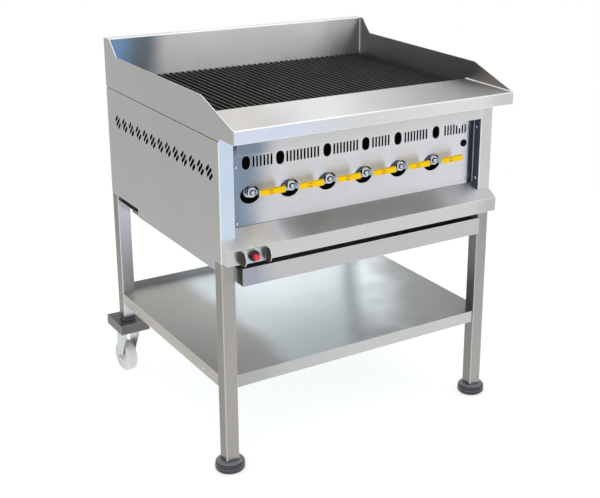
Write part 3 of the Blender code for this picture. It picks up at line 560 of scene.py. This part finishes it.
HUB_RADIUS = 0.013
HUB_FACE = FRONT + 0.018
WASHER_RADIUS, WASHER_HEIGHT = 0.0086, 0.0017
LEVER_SCREW_RADIUS, LEVER_SCREW_HEIGHT = 0.0060, 0.0042
LEVER_SCREW_SEAT = 0.0016  # off the hub, just inside the washer's face
GRIP_BEVEL, GRIP_TAPER = 0.0032, 0.14
MARK_LENGTH, MARK_WIDTH, MARK_RISE, MARK_APART = 0.013, 0.0022, 0.0003, 0.0035
MARK_SHIFT = 0.006  # from the grip's middle towards the hub
PANEL_FACE = low("control_panel").y
PANEL_END = high("control_panel").x
PANEL_SCREW_RADIUS, PANEL_SCREW_HEIGHT = 0.0042, 0.0022
RETURN_SCREW_RADIUS, RETURN_SCREW_HEIGHT = 0.0048, 0.0026
# the right one places the screws of the painted reflection
LEFT_SCREW_IN, REFLECTED_SCREW_IN = 0.020, 0.026  # from the panel's ends
SCREW_ROWS = ((0.716, 0.016), (0.872, 0.012))  # heights, and how far forward in the return
LEFT_SCREW_DROP, RETURN_SCREW_RISE = 0.005, 0.004
# the painted glint strip in the corner of the control panel and its right return
GLINT_STRIP_WIDTH, GLINT_STRIP_BEVEL = 0.0016, 0.0004
SHELF_SCREW_RADIUS, SHELF_SCREW_HEIGHT = 0.0035, 0.0018
SHELF_SCREW_RISE = 0.016
SHELF_SCREW_DEPTHS = (0.130, 0.590)
CORNER_WELD_RADIUS, DECK_WELD_RADIUS = 0.0022, 0.0026
CORNER_WELD_LOW = 0.984  # just over the grates
RING_HEIGHT, RING_RISE = 0.0022, 0.0062


def tap_axis(tap):
    node = f"lever_{tap}"
    return Vector((low(node).x + HUB_RADIUS, HUB_FACE, middle(node).z))


def lever_washer(tap):
    """A dark washer on the hub, sunk a little into it, with its edges broken."""
    work = bmesh.new()
    rim = WASHER_RADIUS - 0.0004
    sunk, lip = -0.0002, WASHER_HEIGHT - 0.0005
    profile = [
        (0, sunk),
        (rim, sunk),
        (WASHER_RADIUS, 0.0004),
        (WASHER_RADIUS, lip),
        (rim - 0.0002, WASHER_HEIGHT),
        (0, WASHER_HEIGHT),
    ]
    lathe(work, profile, tap_axis(tap), FRONTWARD, 32)
    fitting(f"lever_washer_{tap}", work, DARK_WASHER, f"tap_lever_{tap}")


def lever_screw(tap):
    """The slotted screw that holds a lever, seated in its washer."""
    work = bmesh.new()
    seat = tap_axis(tap) + Vector((0, -LEVER_SCREW_SEAT, 0))
    slotted_head(work, seat, FRONTWARD, LEVER_SCREW_RADIUS, LEVER_SCREW_HEIGHT)
    fitting(f"lever_screw_{tap}", work, CHROME, f"tap_lever_{tap}")


def grip_sleeve(tap):
    """A rounded sleeve that stands for the plain grip, slimmer towards the hub."""
    grip = f"lever_grip_{tap}"
    lower, upper = low(grip), high(grip)
    centre = (lower.z + upper.z) / 2
    work = bmesh.new()
    block(work, lower, upper, GRIP_BEVEL, 4)
    for vert in work.verts:
        along = (vert.co.x - lower.x) / (upper.x - lower.x)
        vert.co.z = centre + (vert.co.z - centre) * (1 - GRIP_TAPER + GRIP_TAPER * along)
    sleeve = fitting(f"grip_sleeve_{tap}", work, YELLOW, f"tap_lever_{tap}")
    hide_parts(grip)


def grip_marks(tap):
    """Two short raised bars on the front of a grip."""
    work = bmesh.new()
    lower, upper = low(f"lever_grip_{tap}"), high(f"lever_grip_{tap}")
    place = Vector(((lower.x + upper.x) / 2 - MARK_SHIFT, lower.y, (lower.z + upper.z) / 2))
    for shift in (-MARK_APART, MARK_APART):
        corner = place + Vector((-MARK_LENGTH / 2, -MARK_RISE, shift - MARK_WIDTH / 2))
        block(work, corner, corner + Vector((MARK_LENGTH, 2 * MARK_RISE, MARK_WIDTH)), 0.0002, 1)
    fitting(f"grip_mark_{tap}", work, MARK, f"tap_lever_{tap}")


def panel_screws():
    """Slotted screws: two at the left end and two in the right return that hold the control panel, and two
    on the face at the right end as a painted reflection of the return's screws.
    """
    work = bmesh.new()
    face_size = (PANEL_SCREW_RADIUS, PANEL_SCREW_HEIGHT)
    return_size = (RETURN_SCREW_RADIUS, RETURN_SCREW_HEIGHT)
    for height, forward in SCREW_ROWS:
        left = Vector((-PANEL_END + LEFT_SCREW_IN, PANEL_FACE, height - LEFT_SCREW_DROP))
        # painted reflection: screws on the face standing for the return screws' mirror image
        right = Vector((PANEL_END - REFLECTED_SCREW_IN, PANEL_FACE, height))
        inside = Vector((PANEL_END, PANEL_FACE - forward, height + RETURN_SCREW_RISE))
        slotted_head(work, left, FRONTWARD, *face_size)
        slotted_head(work, right, FRONTWARD, *face_size)
        slotted_head(work, inside, LEFTWARD, *return_size)
    fitting("panel_screws", work, CHROME, "stand")


def panel_glint_strip():
    """A bright strip in the corner between the control panel and the right return: a painted highlight for
    the fold's glint.
    """
    work = bmesh.new()
    bottom, top = low("control_panel").z + 0.002, high("control_panel").z - 0.012
    lower = (PANEL_END - GLINT_STRIP_WIDTH, PANEL_FACE - 0.0014, bottom)
    block(work, lower, (PANEL_END - 0.0001, PANEL_FACE - 0.0001, top), GLINT_STRIP_BEVEL)
    fitting("panel_glint_strip", work, WELD_AND_GLINT, "stand")


def shelf_screws():
    """Slotted screws in the shelf's left and right flanges, near the legs."""
    work = bmesh.new()
    shelf_low, shelf_high = low("lower_shelf"), high("lower_shelf")
    for depth in SHELF_SCREW_DEPTHS:
        for x, outward in ((shelf_low.x, LEFTWARD), (shelf_high.x, RIGHTWARD)):
            place = Vector((x, FRONT + depth, shelf_low.z + SHELF_SCREW_RISE))
            slotted_head(work, place, outward, SHELF_SCREW_RADIUS, SHELF_SCREW_HEIGHT)
    fitting("shelf_screws", work, WELD_AND_GLINT, "stand")


def weld_bead(name, start, end, radius, ripple=0.0045):
    """A bead of weld along a straight joint: a low ridge with even ripples."""
    work = bmesh.new()
    start, end = Vector(start), Vector(end)
    along = end - start
    count = int(along.length / (ripple / 4))
    turn = along.to_track_quat("Z", "Y").to_matrix()
    sides = 8
    rings = []
    for i in range(count + 1):
        size = radius * (0.88 + 0.12 * math.cos(2 * math.pi * i / 4))
        centre = start + along * (i / count)
        angles = (2 * math.pi * j / sides for j in range(sides))
        ring = [turn @ Vector((size * math.cos(a), size * math.sin(a), 0)) + centre for a in angles]
        rings.append([work.verts.new(point) for point in ring])
    for first, second in zip(rings, rings[1:]):
        for i in range(sides):
            j = (i + 1) % sides
            work.faces.new([first[i], first[j], second[j], second[i]])
    work.faces.new(rings[0])
    work.faces.new(rings[-1])
    fitting(name, work, WELD_AND_GLINT, "stand")


def shield_insides():
    """Each side's name, its sign in x and the x of its shield's inner face."""
    return (
        ("left", -1, high("left_side_shield").x),
        ("right", 1, low("right_side_shield").x),
    )


def corner_welds():
    """The surround's inner corners, where the shields meet the splashback."""
    front, top = low("rear_splashback").y, high("rear_splashback").z
    for name, side, inner in shield_insides():
        place = (inner - side * 0.001, front - 0.001)
        ends = ((*place, CORNER_WELD_LOW), (*place, top - 0.004))
        weld_bead(f"{name}_corner_weld", *ends, CORNER_WELD_RADIUS)


def deck_welds():
    """The ground joints along the deck's ends, from the lip to the grates."""
    deck_low, deck_high = low("deck_plate"), high("deck_plate")
    level = deck_high.z + 0.0002
    for name, side, inner in shield_insides():
        place = inner - side * 0.0008
        start = (place, deck_low.y + 0.004, level)
        end = (place, deck_high.y - 0.002, level)
        weld_bead(f"{name}_deck_weld", start, end, DECK_WELD_RADIUS)


def foot_rings():
    """A collar round each rubber foot, low down."""
    for side in ("left", "right"):
        foot = f"front_{side}_foot"
        radius = (high(foot).x - low(foot).x) / 2
        inner, outer = radius - 0.0046, radius - 0.0002
        profile = [(inner, 0), (outer, 0), (outer, RING_HEIGHT), (inner, RING_HEIGHT)]
        base = Vector((middle(foot).x, middle(foot).y, low(foot).z + RING_RISE))
        work = bmesh.new()
        lathe(work, profile, base, UPWARD, 48)
        fitting(f"{side}_foot_ring", work, RUBBER, "stand")


for tap in range(1, TAPS + 1):
    lever_washer(tap)
    lever_screw(tap)
    grip_sleeve(tap)
    grip_marks(tap)
panel_screws()
panel_glint_strip()
shelf_screws()
corner_welds()
deck_welds()
foot_rings()

# ---------------------------------------------------------------- stage, light and camera


FLOOR_RADIUS = 6.0
FLOOR_FADES = (0.9, 2.6)  # solid up to the first distance and gone at the second


def lay_floor():
    """A plain pale floor that fades out far from the grill."""
    mesh = bpy.data.meshes.new("floor")
    work = bmesh.new()
    bmesh.ops.create_circle(work, cap_ends=True, radius=FLOOR_RADIUS, segments=64)
    work.to_mesh(mesh)
    work.free()
    floor = bpy.data.objects.new("floor", mesh)
    floor.location.z = -0.0005  # just clear of the feet
    PIECES.objects.link(floor)
    made, graph, principled = shader("floor", 0.0, Roughness=0.9)
    principled.inputs["Base Color"].default_value = (0.5, 0.5, 0.5, 1)
    principled.inputs["Specular IOR Level"].default_value = 0.0
    principled.inputs["Emission Color"].default_value = (1, 1, 1, 1)
    principled.inputs["Emission Strength"].default_value = 0.62
    point = graph.add("TexCoord").outputs["Object"]
    distance = graph.add("VectorMath", {0: point}, operation="LENGTH").outputs["Value"]
    share = graph.spread(distance, 0.0, 1.0, *FLOOR_FADES)
    clear = graph.add("BsdfTransparent").outputs["BSDF"]
    inputs = {0: share, 1: principled.outputs["BSDF"], 2: clear}
    blend = graph.add("MixShader", inputs).outputs["Shader"]
    output = made.node_tree.nodes["Material Output"]
    graph.put(output.inputs["Surface"], blend)
    mesh.materials.append(made)


# How bright the studio is from its left wall, at -1, to its right wall, at 1
OVERHEAD = (
    (-1.0, 0.85),
    (-0.2, 0.80),
    (0.30, 0.60),
    (0.39, 0.72),
    (0.44, 1.70),
    (0.475, 1.0),
    (0.515, 1.62),
    (0.545, 0.95),
    (0.59, 0.62),
    (0.66, 0.36),
    (0.78, 0.55),
    (1.0, 0.9),
)
LEVEL = ((-1.0, 0.9), (-0.3, 0.85), (0.30, 0.92), (0.42, 1.0), (0.53, 1.0), (0.62, 0.88), (1.0, 0.9))


def tone_across(graph, across, stops):
    """The studio's brightness as a smooth ramp through (place, level) pairs."""
    ramp = graph.add("ValToRGB", {"Fac": graph.spread(across, 0, 1, -1, 1)})
    ramp.color_ramp.interpolation = "EASE"
    elements = ramp.color_ramp.elements
    while len(elements) < len(stops):
        elements.new(0.5)
    for element, (place, level) in zip(elements, stops):
        element.position = (place + 1) / 2
        element.color = (level, level, level, 1)
    return ramp.outputs["Color"]


def light_world():
    """A pale studio: white to the camera, and uneven in brightness from left to right."""
    world = bpy.data.worlds.new("studio")
    bpy.context.scene.world = world
    world.use_nodes = True
    graph = Graph(world.node_tree)
    direction = graph.add("TexCoord").outputs["Generated"]
    split = graph.add("SeparateXYZ", {0: direction})
    high_up = graph.spread(split.outputs["Z"], 0, 1, -0.05, 0.08)
    rearward = graph.spread(split.outputs["Y"], 0, 1, -0.3, 0.1)
    share = graph.math("MULTIPLY", high_up, rearward)
    across = split.outputs["X"]
    colour = graph.mix(share, tone_across(graph, across, LEVEL), tone_across(graph, across, OVERHEAD))
    background = world.node_tree.nodes["Background"]
    graph.put(background.inputs["Color"], colour)
    seen = graph.add("Background", {"Color": (1, 1, 1, 1), "Strength": 1.0}).outputs["Background"]
    straight = graph.add("LightPath").outputs["Is Camera Ray"]
    inputs = {0: straight, 1: background.outputs["Background"], 2: seen}
    blend = graph.add("MixShader", inputs).outputs["Shader"]
    graph.put(world.node_tree.nodes["World Output"].inputs["Surface"], blend)


def hang_light(name, place, target, size, power, tint=(1, 1, 1)):
    data = bpy.data.lights.new(name, "AREA")
    data.shape = "RECTANGLE"
    data.size, data.size_y = size
    data.energy = power
    data.color = tint
    lamp = bpy.data.objects.new(name, data)
    lamp.location = place
    lamp.rotation_euler = (Vector(place) - Vector(target)).to_track_quat("Z", "Y").to_euler()
    bpy.context.scene.collection.objects.link(lamp)


CAMERA_PLACE = (-1.6804, FRONT - 2.4956, 1.7039)
CAMERA_TURN = (-35.26, 18.26, 1.25)  # degrees round from the front, up and rolled
LENS, SENSOR_WIDTH = 67.87, 36
LENS_SHIFT = (-0.15, -0.075)


def aim_camera():
    """The camera stands in front of the grill and to its left, at a standing person's eye height."""
    data = bpy.data.cameras.new("camera")
    data.sensor_width = SENSOR_WIDTH
    data.lens = LENS
    data.shift_x, data.shift_y = LENS_SHIFT
    azimuth, elevation, roll = (math.radians(a) for a in CAMERA_TURN)
    towards_camera = Vector(
        (
            math.sin(azimuth) * math.cos(elevation),
            -math.cos(azimuth) * math.cos(elevation),
            math.sin(elevation),
        )
    )
    camera = bpy.data.objects.new("camera", data)
    turn = towards_camera.to_track_quat("Z", "Y").to_matrix().to_4x4()
    rolled = turn @ Matrix.Rotation(roll, 4, "Z")
    camera.matrix_world = Matrix.Translation(CAMERA_PLACE) @ rolled
    bpy.context.scene.collection.objects.link(camera)
    bpy.context.scene.camera = camera


lay_floor()
light_world()
hang_light("key", (-2.6, -2.4, 3.2), (0, 0, 0.6), (2.2, 2.2), 22)
hang_light("top", (0.4, 0.3, 3.4), (0, 0, 0.8), (2.6, 2.6), 20)
hang_light("fill", (2.8, -2.6, 1.6), (0, 0, 0.5), (2.0, 2.4), 8, (0.92, 0.96, 1.0))
aim_camera()
bpy.context.scene.view_settings.view_transform = "Standard"
